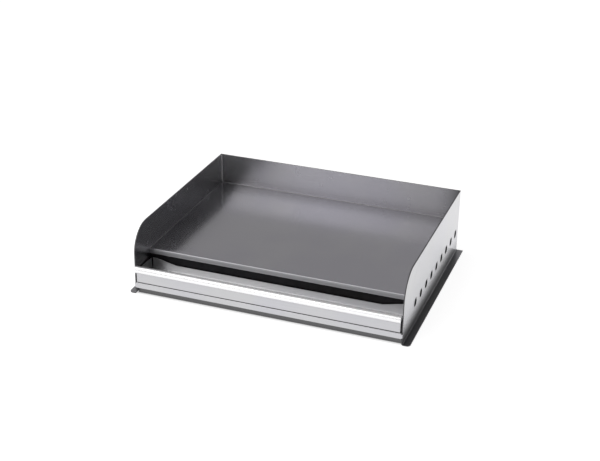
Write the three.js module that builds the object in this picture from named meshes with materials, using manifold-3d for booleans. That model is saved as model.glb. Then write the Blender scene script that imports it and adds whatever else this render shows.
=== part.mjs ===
// A flat top griddle that stands on a char grill: a thick steel cooking plate in a stainless
// three-sided splash, vented below the plate, with a foot flange down each side and a grease
// drawer that slides out at the front.
//
// Millimetres, +Z up, +X to the right as the cook sees it, +Y towards the back splash.
// While the parts are made, y = 0 is the front edge of the side panels and z = 0 the surface
// that the feet stand on. The last lines centre the whole assembly over its own base.

import * as THREE from "three";
import { mergeVertices } from "three/addons/utils/BufferGeometryUtils.js";
import Module from "manifold-3d";

const wasm = await Module();
wasm.setup();

// ---- Driving dimensions ----------------------------------------------------------------

// Clearances
const WELD_GAP = 0.3; // left between two pieces that are welded or clamped together
const PLATE_SIDE_GAP = 0.5; // plate edge to splash, filled by the seal weld
const DRAWER_SIDE_GAP = 3; // drawer pan to side panel
const DRAWER_LIP_GAP = 1.2; // rolled lip to side panel
const DRAWER_REAR_GAP = 3; // drawer pan to heat baffle
const DRAWER_FLOOR_GAP = 1.5; // drawer pan over the front rail
const PAN_LIP_GAP = 1.2; // end walls of the pan to the back of the rolled lip

// Body
const BODY_WIDTH = 610; // over the outer faces of the side panels
const SPLASH_HEIGHT = 75; // above the cooking surface
const WELL_DEPTH = 68; // front edge of the side panels to the front edge of the plate
const PANEL_SHEET = 2.5;
const PANEL_CORNER_RADIUS = 60; // the big round at the front of each side panel
const BEND_RADIUS = 2.5; // inside radius of a bend in the heavy sheet
const FOOT_WIDTH = 16; // how far each foot flange stands out of its side panel
const FOOT_CORNER_RADIUS = 8;
const BACK_RETURN = 18; // stiffening flange along the bottom of the back splash

// Cooking plate
const PLATE_DEPTH = 406;
const PLATE_THICKNESS = 12.7;
const PLATE_TOP = 81;
const PLATE_EDGE_ROUND = 2;

// Vent holes
const VENT_DIAMETER = 16.5;
const VENT_PITCH = 44.65;
const VENT_DROP = 13.3; // hole centre below the underside of the plate
const VENT_END_MARGIN = 22; // least distance from a hole centre to the end of its row

// Front rail
const RAIL_SHEET = 2;
const RAIL_BEND = 1.5; // to the middle of its sheet
const RAIL_BOTTOM = 15.5;
const RAIL_HEIGHT = 14;
const RAIL_RETURN = 11; // how far its foot stands back from its face
const RAIL_LEDGE = 12; // top flange that the drawer slides over

// Grease drawer
const DRAWER_SHEET = 1.2;
const DRAWER_FACE_SHEET = 1.5;
const PAN_UNDER_PLATE = 4; // how far the pan reaches in under the drip edge of the plate
const PAN_END_DROP = 10.3; // top of the end walls below the underside of the plate
const PAN_BACK_DROP = 21.3; // low middle of the back wall below the underside of the plate
const PAN_FRONT_DROP = 5; // top of the front wall below the rolled lip
const PAN_NOTCH_INSET = 11; // full-height stretch of the back wall at each end
const PAN_NOTCH_SLOPE = 48; // length over which the back wall drops to its low middle
const PAN_CORNER_SLOT = 2; // open fold at each rear corner of the pan
const PAN_CORNER_WELD = 6; // height to which that fold is closed
const LIP_RADIUS = 8.5;
const LIP_BELOW_PLATE = 11; // top of the rolled lip below the cooking surface
const LIP_FILLET = 3;
const LIP_CURL = 275; // degrees of roll after the lip has left its fillet

// Drawer runners
const RUNNER_SHEET = 1.5;
const RUNNER_WIDTH = 14;
const RUNNER_HEIGHT = 12;

// Heat baffle
const BAFFLE_SHEET = 1.5;
const BAFFLE_TAB_GAP = 2; // end flange to the first side vent
const BAFFLE_GROUND_GAP = 6;

// Plate fixings: bracket, weld stud, washer and nut
const BRACKET_VENT_GAP = 3; // bracket to the vent on each side of it
const BRACKET_SHEET = 3;
const BRACKET_LEG = 26; // height against the panel
const BRACKET_SHELF = 24; // reach under the plate
const STUD_DIAMETER = 6;
const STUD_LENGTH = 17;
const STUD_HOLE_GAP = 0.6; // all round, so the plate can grow when it is hot
const STUD_INSET = 14; // stud centre from the panel
const SLOT_TRAVEL = 5;
const WASHER_DIAMETER = 13;
const WASHER_THICKNESS = 1.4;
const NUT_ACROSS_FLATS = 10;
const NUT_HEIGHT = 5;

// Stiffener bars under the plate
const STIFFENER_COUNT = 3;
const STIFFENER_THICKNESS = 6;
const STIFFENER_HEIGHT = 22;
const STIFFENER_END_GAP = 38; // from each edge of the plate

// Smoothness of round work
const BEND_STEPS = 5;
const CORNER_STEPS = 24;
const HOLE_STEPS = 32;
const LIP_STEPS = 24;
const CUT_OVERRUN = 5; // how far a cutting tool runs past the face it cuts

// ---- Sizes that follow ------------------------------------------------------------------

const innerHalfWidth = BODY_WIDTH / 2 - PANEL_SHEET;
const plateFront = WELL_DEPTH;
const plateRear = plateFront + PLATE_DEPTH;
const backInner = plateRear + PLATE_SIDE_GAP;
const panelDepth = backInner + PANEL_SHEET;
const panelHeight = PLATE_TOP + SPLASH_HEIGHT;
const plateBottom = PLATE_TOP - PLATE_THICKNESS;
const plateWidth = 2 * (innerHalfWidth - PLATE_SIDE_GAP);
const underPlate = plateBottom - WELD_GAP;
const ventHeight = plateBottom - VENT_DROP;
const railTop = RAIL_BOTTOM + RAIL_HEIGHT;
const railFront = -WELD_GAP - RAIL_SHEET;
const panBottom = railTop + DRAWER_FLOOR_GAP;
const panHalfWidth = innerHalfWidth - DRAWER_SIDE_GAP;
const panFront = railFront + DRAWER_FACE_SHEET + WELD_GAP;
const panRear = plateFront + PAN_UNDER_PLATE;
const panEndTop = plateBottom - PAN_END_DROP;
const panBackTop = plateBottom - PAN_BACK_DROP;
const lipHeight = PLATE_TOP - LIP_BELOW_PLATE - LIP_RADIUS; // centre of the roll
const panFrontTop = lipHeight - LIP_RADIUS - PAN_FRONT_DROP;
const baffleFront = panRear + DRAWER_REAR_GAP;

// ---- Finishes ---------------------------------------------------------------------------

function finish(color, roughness, metalness) {
  return new THREE.MeshStandardMaterial({ color, roughness, metalness });
}

const brushedStainless = finish(0xc9cacd, 0.34, 1);
const polishedStainless = finish(0xe6e7ea, 0.2, 1);
const seasonedSteel = finish(0x6f6f74, 0.48, 0.85);
const heatedSteel = finish(0x37363a, 0.6, 0.8);
const platedSteel = finish(0xb5b7bb, 0.4, 1);

// ---- Joining and cutting ----------------------------------------------------------------

// A closed geometry as a manifold solid.
function solidOf(geometry) {
  const bare = geometry.clone();
  bare.deleteAttribute("normal");
  bare.deleteAttribute("uv");
  const merged = mergeVertices(bare, 1e-4);
  return new wasm.Manifold(
    new wasm.Mesh({
      numProp: 3,
      vertProperties: merged.attributes.position.array,
      triVerts: new Uint32Array(merged.index.array),
    }),
  );
}

// A manifold solid as a flat-shaded geometry.
function geometryOf(solid) {
  const { vertProperties, triVerts, numProp } = solid.getMesh();
  const position = new THREE.BufferAttribute(new Float32Array(vertProperties), numProp);
  const indexed = new THREE.BufferGeometry().setAttribute("position", position);
  indexed.setIndex(new THREE.BufferAttribute(triVerts, 1));
  const flat = indexed.toNonIndexed();
  flat.computeVertexNormals();
  return flat;
}

function joined(first, ...others) {
  return others.reduce((whole, geometry) => whole.add(solidOf(geometry)), solidOf(first));
}

function cut(body, ...tools) {
  const whole = tools.reduce((rest, tool) => rest.subtract(solidOf(tool)), solidOf(body));
  return geometryOf(whole);
}

function piece(name, geometry, material, parent) {
  const mesh = new THREE.Mesh(geometry, material);
  mesh.name = name;
  parent.add(mesh);
  return mesh;
}

// ---- Sheet and bar shapes ---------------------------------------------------------------

// Extrudes a closed outline so that its two coordinates lie along u and v, and its depth
// runs from `from` to `to` along u x v.
function extruded(outline, u, v, from, to) {
  const shape = new THREE.Shape(outline);
  const geometry = new THREE.ExtrudeGeometry(shape, {
    depth: to - from,
    bevelEnabled: false,
    curveSegments: CORNER_STEPS,
  });
  const w = new THREE.Vector3().crossVectors(u, v);
  geometry.translate(0, 0, from);
  return geometry.applyMatrix4(new THREE.Matrix4().makeBasis(u, v, w));
}

const X = new THREE.Vector3(1, 0, 0);
const Y = new THREE.Vector3(0, 1, 0);
const Z = new THREE.Vector3(0, 0, 1);

// An outline in (y, z), extruded across the body from x = from to x = to.
const alongX = (outline, from, to) => extruded(outline, Y, Z, from, to);
// An outline in (z, x), extruded back from y = from to y = to.
const alongY = (outline, from, to) => extruded(outline, Z, X, from, to);
// An outline in (x, y), extruded up from z = from to z = to.
const alongZ = (outline, from, to) => extruded(outline, X, Y, from, to);

function block(x0, x1, y0, y1, z0, z1) {
  const geometry = new THREE.BoxGeometry(x1 - x0, y1 - y0, z1 - z0);
  return geometry.translate((x0 + x1) / 2, (y0 + y1) / 2, (z0 + z1) / 2);
}

// A round bar of the given diameter, standing on z = from and reaching z = to.
function bar(diameter, from, to, x = 0, y = 0) {
  const radius = diameter / 2;
  const geometry = new THREE.CylinderGeometry(radius, radius, to - from, HOLE_STEPS);
  return geometry.rotateX(Math.PI / 2).translate(x, y, (from + to) / 2);
}

// Straight runs between corners, with each corner turned on an arc of the given radius.
function bentLine(corners, radius) {
  const line = [corners[0]];
  for (let i = 1; i < corners.length - 1; i++) {
    const into = corners[i].clone().sub(corners[i - 1]).normalize();
    const out = corners[i + 1].clone().sub(corners[i]).normalize();
    const turn = Math.atan2(into.cross(out), into.dot(out));
    const start = corners[i].clone().addScaledVector(into, -radius * Math.tan(Math.abs(turn) / 2));
    const side = new THREE.Vector2(-into.y, into.x).multiplyScalar(Math.sign(turn) * radius);
    const centre = start.clone().add(side);
    for (let k = 0; k <= BEND_STEPS; k++) {
      line.push(start.clone().rotateAround(centre, (turn * k) / BEND_STEPS));
    }
  }
  line.push(corners[corners.length - 1]);
  return line;
}

// The closed outline of a sheet whose middle follows the line.
function sheetOutline(line, thickness) {
  const normals = line.map((point, i) => {
    const before = line[Math.max(i - 1, 0)];
    const after = line[Math.min(i + 1, line.length - 1)];
    const into = point.clone().sub(before).normalize();
    const out = after.clone().sub(point).normalize();
    const along = into.add(out).normalize();
    const run = i === 0 ? out : point.clone().sub(before).normalize();
    return new THREE.Vector2(-along.y, along.x).divideScalar(along.dot(run));
  });
  const edge = (offset) => line.map((point, i) => point.clone().addScaledVector(normals[i], offset));
  return [...edge(thickness / 2), ...edge(-thickness / 2).reverse()];
}

const at = (a, b) => new THREE.Vector2(a, b);

// ---- Vent rows --------------------------------------------------------------------------

// Places along a row of vents that fills the length about its centre at the vent pitch.
function ventPlaces(centre, length) {
  const steps = Math.floor((length - 2 * VENT_END_MARGIN) / VENT_PITCH);
  return Array.from({ length: steps + 1 }, (_, i) => centre + (i - steps / 2) * VENT_PITCH);
}

const sideVents = ventPlaces((plateFront + plateRear) / 2, PLATE_DEPTH);
const backVents = ventPlaces(0, plateWidth);

// The middle of the space between two neighbouring vents, counted from either end of the row.
const betweenVents = (places, fromEnd) => [
  (places.at(fromEnd) + places.at(fromEnd + 1)) / 2,
  (places.at(-1 - fromEnd) + places.at(-2 - fromEnd)) / 2,
];

// ---- The assembly -----------------------------------------------------------------------

const griddle = new THREE.Group();
const body = new THREE.Group();
const drawer = new THREE.Group();
griddle.add(body, drawer);

// Side panels: one sheet each, with a foot flange turned outwards along the bottom, a large
// round at the top front corner and a row of vent holes under the plate. `side` is -1 or 1.
function sidePanel(side) {
  const middle = side * (BODY_WIDTH / 2 - PANEL_SHEET / 2);
  const footEdge = side * (BODY_WIDTH / 2 + FOOT_WIDTH);
  const footMiddle = PANEL_SHEET / 2;
  const bend = BEND_RADIUS + PANEL_SHEET / 2;
  const section = bentLine(
    [at(panelHeight, middle), at(footMiddle, middle), at(footMiddle, footEdge)],
    bend,
  );
  const sheet = alongY(sheetOutline(section, PANEL_SHEET), 0, panelDepth);

  const profile = new THREE.Path();
  profile.moveTo(-CUT_OVERRUN, panelHeight + CUT_OVERRUN);
  profile.lineTo(-CUT_OVERRUN, panelHeight - PANEL_CORNER_RADIUS);
  profile.lineTo(0, panelHeight - PANEL_CORNER_RADIUS);
  profile.absarc(
    PANEL_CORNER_RADIUS,
    panelHeight - PANEL_CORNER_RADIUS,
    PANEL_CORNER_RADIUS,
    Math.PI,
    Math.PI / 2,
    true,
  );
  profile.lineTo(PANEL_CORNER_RADIUS, panelHeight + CUT_OVERRUN);
  const inner = side * (innerHalfWidth - CUT_OVERRUN);
  const outer = side * (BODY_WIDTH / 2 + CUT_OVERRUN);
  const span = [Math.min(inner, outer), Math.max(inner, outer)];
  const corner = alongX(profile.getPoints(CORNER_STEPS / 2), ...span);

  const vents = sideVents.map((y) =>
    bar(VENT_DIAMETER, ...span).rotateY(Math.PI / 2).translate(0, y, ventHeight),
  );
  return cut(sheet, corner, footCornerTool(footEdge, side), ...vents);
}

// What is cut off a foot flange to round its front corner, at (x, 0).
function footCornerTool(x, side) {
  const centre = at(x - side * FOOT_CORNER_RADIUS, FOOT_CORNER_RADIUS);
  const outline = [
    at(centre.x, -CUT_OVERRUN),
    at(x + side * CUT_OVERRUN, -CUT_OVERRUN),
    at(x + side * CUT_OVERRUN, centre.y),
  ];
  for (let k = 0; k <= HOLE_STEPS / 4; k++) {
    const turn = (k * 2 * Math.PI) / HOLE_STEPS;
    const dx = side * Math.cos(turn) * FOOT_CORNER_RADIUS;
    const dy = -Math.sin(turn) * FOOT_CORNER_RADIUS;
    outline.push(at(centre.x + dx, centre.y + dy));
  }
  return alongZ(outline, -CUT_OVERRUN, PANEL_SHEET + CUT_OVERRUN);
}

piece("side_panel_left", sidePanel(-1), brushedStainless, body);
piece("side_panel_right", sidePanel(1), brushedStainless, body);

// Back splash: a sheet between the side panels, welded to them down both corners, with its
// own row of vents and a stiffening flange turned forwards along the bottom.
function backSplash() {
  const middle = panelDepth - PANEL_SHEET / 2;
  const section = bentLine(
    [at(middle, panelHeight), at(middle, PANEL_SHEET / 2), at(panelDepth - BACK_RETURN, PANEL_SHEET / 2)],
    BEND_RADIUS + PANEL_SHEET / 2,
  );
  const halfWidth = innerHalfWidth - WELD_GAP;
  const sheet = alongX(sheetOutline(section, PANEL_SHEET), -halfWidth, halfWidth);
  const vents = backVents.map((x) =>
    bar(VENT_DIAMETER, backInner - CUT_OVERRUN, panelDepth + CUT_OVERRUN)
      .rotateX(-Math.PI / 2)
      .translate(x, 0, ventHeight),
  );
  return cut(sheet, ...vents);
}

piece("back_splash", backSplash(), brushedStainless, body);

// Cooking plate: one thick plate, its front edge rounded top and bottom for the scraper.
function cookingPlate() {
  const round = PLATE_EDGE_ROUND;
  const outline = bentLine(
    [
      at(plateRear, plateBottom),
      at(plateFront, plateBottom),
      at(plateFront, PLATE_TOP),
      at(plateRear, PLATE_TOP),
    ],
    round,
  );
  return alongX(outline, -plateWidth / 2, plateWidth / 2);
}

piece("griddle_plate", cookingPlate(), seasonedSteel, body);

// Front rail: a folded section across the front, its face welded over the front edges of the
// side panels. The drawer slides on its top flange, and its foot stands back from its face.
function frontRail() {
  const half = RAIL_SHEET / 2;
  const face = railFront + half;
  const foot = face + RAIL_RETURN;
  const section = bentLine(
    [
      at(railFront + RAIL_LEDGE, railTop - half),
      at(face, railTop - half),
      at(face, RAIL_BOTTOM + half),
      at(foot, RAIL_BOTTOM + half),
      at(foot, 0),
    ],
    RAIL_BEND,
  );
  const betweenPanels = innerHalfWidth - WELD_GAP;
  const fold = alongX(sheetOutline(section, RAIL_SHEET), -betweenPanels, betweenPanels);
  const overPanels = block(
    -BODY_WIDTH / 2,
    BODY_WIDTH / 2,
    railFront,
    railFront + RAIL_SHEET,
    RAIL_BOTTOM + RAIL_BEND,
    railTop - RAIL_BEND,
  );
  return geometryOf(joined(fold, overPanels));
}

piece("front_rail", frontRail(), brushedStainless, body);

// Heat baffle: closes the burner space off from the grease drawer. A flange at each end is
// welded to the side panel, short of the first vent.
function heatBaffle() {
  const halfWidth = innerHalfWidth - WELD_GAP - BAFFLE_SHEET / 2;
  const middle = baffleFront + BAFFLE_SHEET / 2;
  const tabEnd = sideVents[0] - VENT_DIAMETER / 2 - BAFFLE_TAB_GAP;
  const section = bentLine(
    [at(-halfWidth, tabEnd), at(-halfWidth, middle), at(halfWidth, middle), at(halfWidth, tabEnd)],
    BAFFLE_SHEET,
  );
  return alongZ(sheetOutline(section, BAFFLE_SHEET), BAFFLE_GROUND_GAP, underPlate);
}

piece("heat_baffle", heatBaffle(), heatedSteel, body);

// Drawer runners: a small angle welded inside each side panel, under the drawer pan.
function drawerRunner(side) {
  const against = side * (innerHalfWidth - WELD_GAP - RUNNER_SHEET / 2);
  const top = panBottom - WELD_GAP - RUNNER_SHEET / 2;
  const section = bentLine(
    [
      at(panBottom - WELD_GAP - RUNNER_HEIGHT, against),
      at(top, against),
      at(top, side * (innerHalfWidth - RUNNER_WIDTH)),
    ],
    RUNNER_SHEET,
  );
  const front = railFront + RAIL_LEDGE + RAIL_SHEET;
  return alongY(sheetOutline(section, RUNNER_SHEET), front, baffleFront - WELD_GAP);
}

piece("drawer_runner_left", drawerRunner(-1), brushedStainless, body);
piece("drawer_runner_right", drawerRunner(1), brushedStainless, body);

// Stiffener bars: flat bars on edge, welded to the underside of the plate.
for (let i = 0; i < STIFFENER_COUNT; i++) {
  const x = ((i + 1) / (STIFFENER_COUNT + 1) - 1 / 2) * plateWidth;
  const length = PLATE_DEPTH - 2 * STIFFENER_END_GAP;
  const geometry = new THREE.BoxGeometry(STIFFENER_THICKNESS, length, STIFFENER_HEIGHT);
  const stiffener = piece(`plate_stiffener_${i + 1}`, geometry, heatedSteel, body);
  stiffener.position.set(x, (plateFront + plateRear) / 2, underPlate - STIFFENER_HEIGHT / 2);
}

// Plate fixing: a bracket welded to a panel between two vents, with a slot for a stud that is
// welded to the plate, and a washer and nut below. In the group's own frame the panel's inner
// face is x = 0, the plate is above z = 0, and the bracket reaches along +x.
function bracket() {
  const wall = WELD_GAP + BRACKET_SHEET / 2;
  const section = bentLine(
    [at(-BRACKET_LEG, wall), at(-BRACKET_SHEET / 2, wall), at(-BRACKET_SHEET / 2, BRACKET_SHELF)],
    BRACKET_SHEET,
  );
  const halfWidth = (VENT_PITCH - VENT_DIAMETER) / 2 - BRACKET_VENT_GAP;
  const angle = alongY(sheetOutline(section, BRACKET_SHEET), -halfWidth, halfWidth);
  const slotWidth = STUD_DIAMETER + 2 * STUD_HOLE_GAP;
  const through = [-BRACKET_SHEET - CUT_OVERRUN, CUT_OVERRUN];
  const ends = [-1, 1].map((end) =>
    bar(slotWidth, ...through, STUD_INSET, (end * SLOT_TRAVEL) / 2),
  );
  const middle = block(
    STUD_INSET - slotWidth / 2,
    STUD_INSET + slotWidth / 2,
    -SLOT_TRAVEL / 2,
    SLOT_TRAVEL / 2,
    ...through,
  );
  return cut(angle, ...ends, middle);
}

function washer() {
  const hole = bar(STUD_DIAMETER + 2 * WELD_GAP, -CUT_OVERRUN, WASHER_THICKNESS + CUT_OVERRUN);
  return cut(bar(WASHER_DIAMETER, 0, WASHER_THICKNESS), hole);
}

function nut() {
  const radius = NUT_ACROSS_FLATS / Math.sqrt(3);
  const hexagon = Array.from({ length: 6 }, (_, i) =>
    at(radius, 0).rotateAround(at(0, 0), (i * Math.PI) / 3),
  );
  const hole = bar(STUD_DIAMETER + 2 * WELD_GAP, -CUT_OVERRUN, NUT_HEIGHT + CUT_OVERRUN);
  return cut(alongZ(hexagon, 0, NUT_HEIGHT), hole);
}

function plateFixing(label, x, y, turn) {
  const fixing = new THREE.Group();
  fixing.position.set(x, y, underPlate);
  fixing.rotation.z = turn;
  body.add(fixing);

  const washerTop = -BRACKET_SHEET - WELD_GAP;
  const nutTop = washerTop - WASHER_THICKNESS - WELD_GAP;
  piece(`plate_bracket_${label}`, bracket(), platedSteel, fixing);
  const stud = piece(`plate_stud_${label}`, bar(STUD_DIAMETER, -STUD_LENGTH, 0), platedSteel, fixing);
  stud.position.x = STUD_INSET;
  const ring = piece(`plate_washer_${label}`, washer(), platedSteel, fixing);
  ring.position.set(STUD_INSET, 0, washerTop - WASHER_THICKNESS);
  const hex = piece(`plate_nut_${label}`, nut(), platedSteel, fixing);
  hex.position.set(STUD_INSET, 0, nutTop - NUT_HEIGHT);
}

const sideBrackets = betweenVents(sideVents, 1);
const backBrackets = betweenVents(backVents, 2);
plateFixing("left_front", -innerHalfWidth, sideBrackets[0], 0);
plateFixing("left_rear", -innerHalfWidth, sideBrackets[1], 0);
plateFixing("right_front", innerHalfWidth, sideBrackets[0], Math.PI);
plateFixing("right_rear", innerHalfWidth, sideBrackets[1], Math.PI);
plateFixing("back_left", backBrackets[0], backInner, -Math.PI / 2);
plateFixing("back_right", backBrackets[1], backInner, -Math.PI / 2);

// Drawer pan: floor, two end walls, a low front wall spot-welded to the drawer front, and a
// back wall that drops to a low middle so that fat from the plate runs in over it.
function drawerPan() {
  const above = panEndTop + CUT_OVERRUN;
  const wall = panHalfWidth - DRAWER_SHEET;
  const outside = block(-panHalfWidth, panHalfWidth, panFront, panRear, panBottom, panEndTop);
  const inside = block(
    -wall,
    wall,
    panFront + DRAWER_SHEET,
    panRear - DRAWER_SHEET,
    panBottom + DRAWER_SHEET,
    above,
  );
  const throughBack = [panRear - DRAWER_SHEET - CUT_OVERRUN, panRear + CUT_OVERRUN];

  // The low middle of the back wall, with a slope up at each end.
  const notchTop = wall - PAN_NOTCH_INSET;
  const notchFloor = notchTop - PAN_NOTCH_SLOPE;
  const overrun = (CUT_OVERRUN * PAN_NOTCH_SLOPE) / (panEndTop - panBackTop);
  const notch = alongY(
    [
      at(panBackTop, -notchFloor),
      at(panBackTop, notchFloor),
      at(above, notchTop + overrun),
      at(above, -notchTop - overrun),
    ],
    ...throughBack,
  );

  // The front wall stops below the rolled lip, and the end walls slope down to it.
  const lipRear = railFront + DRAWER_FACE_SHEET / 2 + LIP_RADIUS + PAN_LIP_GAP;
  const front = alongX(
    [
      at(panFront - CUT_OVERRUN, panFrontTop),
      at(panFront + DRAWER_SHEET, panFrontTop),
      at(lipRear, panEndTop),
      at(lipRear, above),
      at(panFront - CUT_OVERRUN, above),
    ],
    -panHalfWidth - CUT_OVERRUN,
    panHalfWidth + CUT_OVERRUN,
  );

  const slots = [-1, 1].map((side) => {
    const ends = [side * wall, side * (wall - PAN_CORNER_SLOT)].sort((a, b) => a - b);
    return block(...ends, ...throughBack, panBottom + PAN_CORNER_WELD, above);
  });
  return cut(outside, inside, notch, front, ...slots);
}

piece("drawer_pan", drawerPan(), brushedStainless, drawer);

// Drawer front: a flat face between the side panels that turns forwards at the top into a
// rolled lip, the drawer's pull. The face passes through the middle of the roll.
function drawerFront() {
  const half = DRAWER_FACE_SHEET / 2;
  const face = railFront + half;
  const roll = LIP_RADIUS - half;
  const filletHeight = lipHeight - Math.sqrt((roll + LIP_FILLET) ** 2 - LIP_FILLET ** 2);
  const lean = Math.atan2(lipHeight - filletHeight, LIP_FILLET);
  const line = new THREE.Path();
  line.moveTo(face, panBottom);
  line.lineTo(face, filletHeight);
  line.absarc(face - LIP_FILLET, filletHeight, LIP_FILLET, 0, lean, false);
  const curlStart = lean + Math.PI;
  const curlEnd = curlStart - THREE.MathUtils.degToRad(LIP_CURL);
  line.absarc(face, lipHeight, roll, curlStart, curlEnd, true);
  const outline = sheetOutline(line.getPoints(LIP_STEPS), DRAWER_FACE_SHEET);
  const lipHalfWidth = innerHalfWidth - DRAWER_LIP_GAP;
  const sheet = alongX(outline, -lipHalfWidth, lipHalfWidth);

  // The face is a little shorter than the roll at each end.
  const trims = [-1, 1].map((side) => {
    const ends = [side * panHalfWidth, side * (panHalfWidth + CUT_OVERRUN)].sort((a, b) => a - b);
    return block(
      ...ends,
      railFront - CUT_OVERRUN,
      railFront + CUT_OVERRUN,
      panBottom - CUT_OVERRUN,
      filletHeight,
    );
  });
  return cut(sheet, ...trims);
}

piece("drawer_front", drawerFront(), polishedStainless, drawer);

// Centre the assembly over its base: the drawer's lip is its foremost point.
const lipFront = railFront + DRAWER_FACE_SHEET / 2 - LIP_RADIUS;
griddle.position.y = -(lipFront + panelDepth) / 2;

export default griddle;
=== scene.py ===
"""A flat top griddle for a char grill: a steel cooking plate in a three-sided stainless splash,
with a grease drawer that slides out at the front. Metres, +Z up, +Y towards the back splash."""
import math
import bmesh
import bpy
import numpy as np
from mathutils import Matrix, Vector


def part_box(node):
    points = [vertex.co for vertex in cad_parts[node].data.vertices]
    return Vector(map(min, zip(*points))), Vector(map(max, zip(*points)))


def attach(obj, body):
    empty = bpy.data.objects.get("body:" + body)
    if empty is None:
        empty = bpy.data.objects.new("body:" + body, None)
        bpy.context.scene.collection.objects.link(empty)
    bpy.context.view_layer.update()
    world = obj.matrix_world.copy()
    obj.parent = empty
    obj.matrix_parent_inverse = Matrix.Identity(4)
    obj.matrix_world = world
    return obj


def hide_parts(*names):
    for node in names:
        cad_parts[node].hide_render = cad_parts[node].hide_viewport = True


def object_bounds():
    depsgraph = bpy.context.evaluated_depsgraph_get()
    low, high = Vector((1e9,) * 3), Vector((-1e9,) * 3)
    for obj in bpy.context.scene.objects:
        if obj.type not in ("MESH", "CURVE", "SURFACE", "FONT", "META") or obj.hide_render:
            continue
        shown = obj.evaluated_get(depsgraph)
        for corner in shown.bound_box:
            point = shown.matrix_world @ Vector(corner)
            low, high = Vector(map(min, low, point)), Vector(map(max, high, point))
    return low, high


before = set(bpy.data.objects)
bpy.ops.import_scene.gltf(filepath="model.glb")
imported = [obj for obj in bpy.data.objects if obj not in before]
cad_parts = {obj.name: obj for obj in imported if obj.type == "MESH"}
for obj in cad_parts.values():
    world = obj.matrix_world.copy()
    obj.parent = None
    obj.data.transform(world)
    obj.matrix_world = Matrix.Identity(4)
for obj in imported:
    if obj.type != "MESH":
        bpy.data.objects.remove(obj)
cad_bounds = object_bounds()
mm = 0.001


# Studio
# A pale floor that glows a little, as a lit table does, and a broad soft light at the front left.
# The room is bright near the floor. Higher up it is bright at the front left, dim behind, and
# nearly dark on the right.
CAMERA_PLACE = (0.8215, -2.3135, 1.2723)
CAMERA_AZIMUTH = math.radians(19.678)
CAMERA_HEIGHT_ANGLE = math.radians(25.426)
CAMERA_ROLL = math.radians(1.009)
LENS = 72.13
SENSOR = 36.0

level = math.cos(CAMERA_HEIGHT_ANGLE)
behind = Vector((math.sin(CAMERA_AZIMUTH) * level, -math.cos(CAMERA_AZIMUTH) * level,
                 math.sin(CAMERA_HEIGHT_ANGLE)))
across = (-behind).cross(Vector((0, 0, 1))).normalized()
upward = across.cross(-behind)
cos_roll, sin_roll = math.cos(CAMERA_ROLL), math.sin(CAMERA_ROLL)
camera_data = bpy.data.cameras.new("camera")
camera_data.lens = LENS
camera_data.sensor_width = SENSOR
camera = bpy.data.objects.new("camera", camera_data)
turned = Matrix((cos_roll * across + sin_roll * upward,
                 cos_roll * upward - sin_roll * across, behind)).transposed().to_4x4()
turned.translation = Vector(CAMERA_PLACE)
camera.matrix_world = turned
bpy.context.scene.collection.objects.link(camera)
bpy.context.scene.camera = camera
bpy.context.scene.view_settings.view_transform = "Standard"


def put(tree, socket, value):
    """Sets a socket, or links it where the value is another node's output."""
    if isinstance(value, bpy.types.NodeSocket):
        tree.links.new(value, socket)
    else:
        socket.default_value = value


def add_node(tree, kind, **inputs):
    """Adds one node, and sets or links the inputs that are named."""
    node = tree.nodes.new(kind)
    for name, value in inputs.items():
        put(tree, node.inputs[name.replace("_", " ")], value)
    return node


def ramp(tree, value, low, high, to_low, to_high, smooth=False):
    """Carries a value from the range low..high to the range to_low..to_high."""
    node = tree.nodes.new("ShaderNodeMapRange")
    node.interpolation_type = "SMOOTHSTEP" if smooth else "LINEAR"
    for place, entry in enumerate((value, low, high, to_low, to_high)):
        put(tree, node.inputs[place], entry)
    return node.outputs[0]


def maths(tree, operation, *values):
    """Works out one sum, such as the difference of two nodes' outputs."""
    node = tree.nodes.new("ShaderNodeMath")
    node.operation = operation
    for place, entry in enumerate(values):
        put(tree, node.inputs[place], entry)
    return node.outputs[0]


# The light from each part of the room, and the ranges over which one part fades into the next, as
# the sideways, backwards or upward share of the direction that is looked in.
ROOM_COLOUR = (1.0, 0.99, 1.0, 1.0)
LOW_LIGHT = 1.06
LEFT_END_LIGHT = 0.50
LEFT_FRONT_LIGHT = 1.05
RIGHT_FRONT_LIGHT = 0.03
LEFT_BACK_LIGHT = 0.33
RIGHT_BACK_LIGHT = 0.03
UPPER_LEFT_LIGHT = 1.15
UPPER_RIGHT_LIGHT = 0.03
UPPER_BACK_LIGHT = 0.36
ZENITH_LIGHT = 0.42
LEFT_END_FADE = (-0.40, -0.30)
FRONT_MIDDLE_FADE = (-0.225, -0.140)
BACK_MIDDLE_FADE = (-0.17, 0.02)
UPPER_MIDDLE_FADE = (-0.05, 0.12)
FRONT_BACK_FADE = (-0.35, 0.35)
UPPER_FRONT_BACK_FADE = (0.0, 0.4)
LOW_FADE = (0.13, 0.25)
UPPER_FADE = (0.50, 0.66)
ZENITH_FADE = (0.86, 0.97)
room = bpy.data.worlds.new("room")
bpy.context.scene.world = room
room.use_nodes = True
sky = room.node_tree
looked_in = sky.nodes.new("ShaderNodeTexCoord").outputs["Generated"]
sideways, backwards, height = add_node(sky, "ShaderNodeSeparateXYZ", Vector=looked_in).outputs
back_light = ramp(sky, sideways, *BACK_MIDDLE_FADE, LEFT_BACK_LIGHT, RIGHT_BACK_LIGHT, True)
left_light = ramp(sky, sideways, *LEFT_END_FADE, LEFT_END_LIGHT, LEFT_FRONT_LIGHT, True)
front_light = ramp(sky, sideways, *FRONT_MIDDLE_FADE, left_light, RIGHT_FRONT_LIGHT, True)
middle_light = ramp(sky, backwards, *FRONT_BACK_FADE, front_light, back_light, True)
lower_light = ramp(sky, height, *LOW_FADE, LOW_LIGHT, middle_light, True)
upper_front_light = ramp(sky, sideways, *UPPER_MIDDLE_FADE, UPPER_LEFT_LIGHT, UPPER_RIGHT_LIGHT, True)
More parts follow.
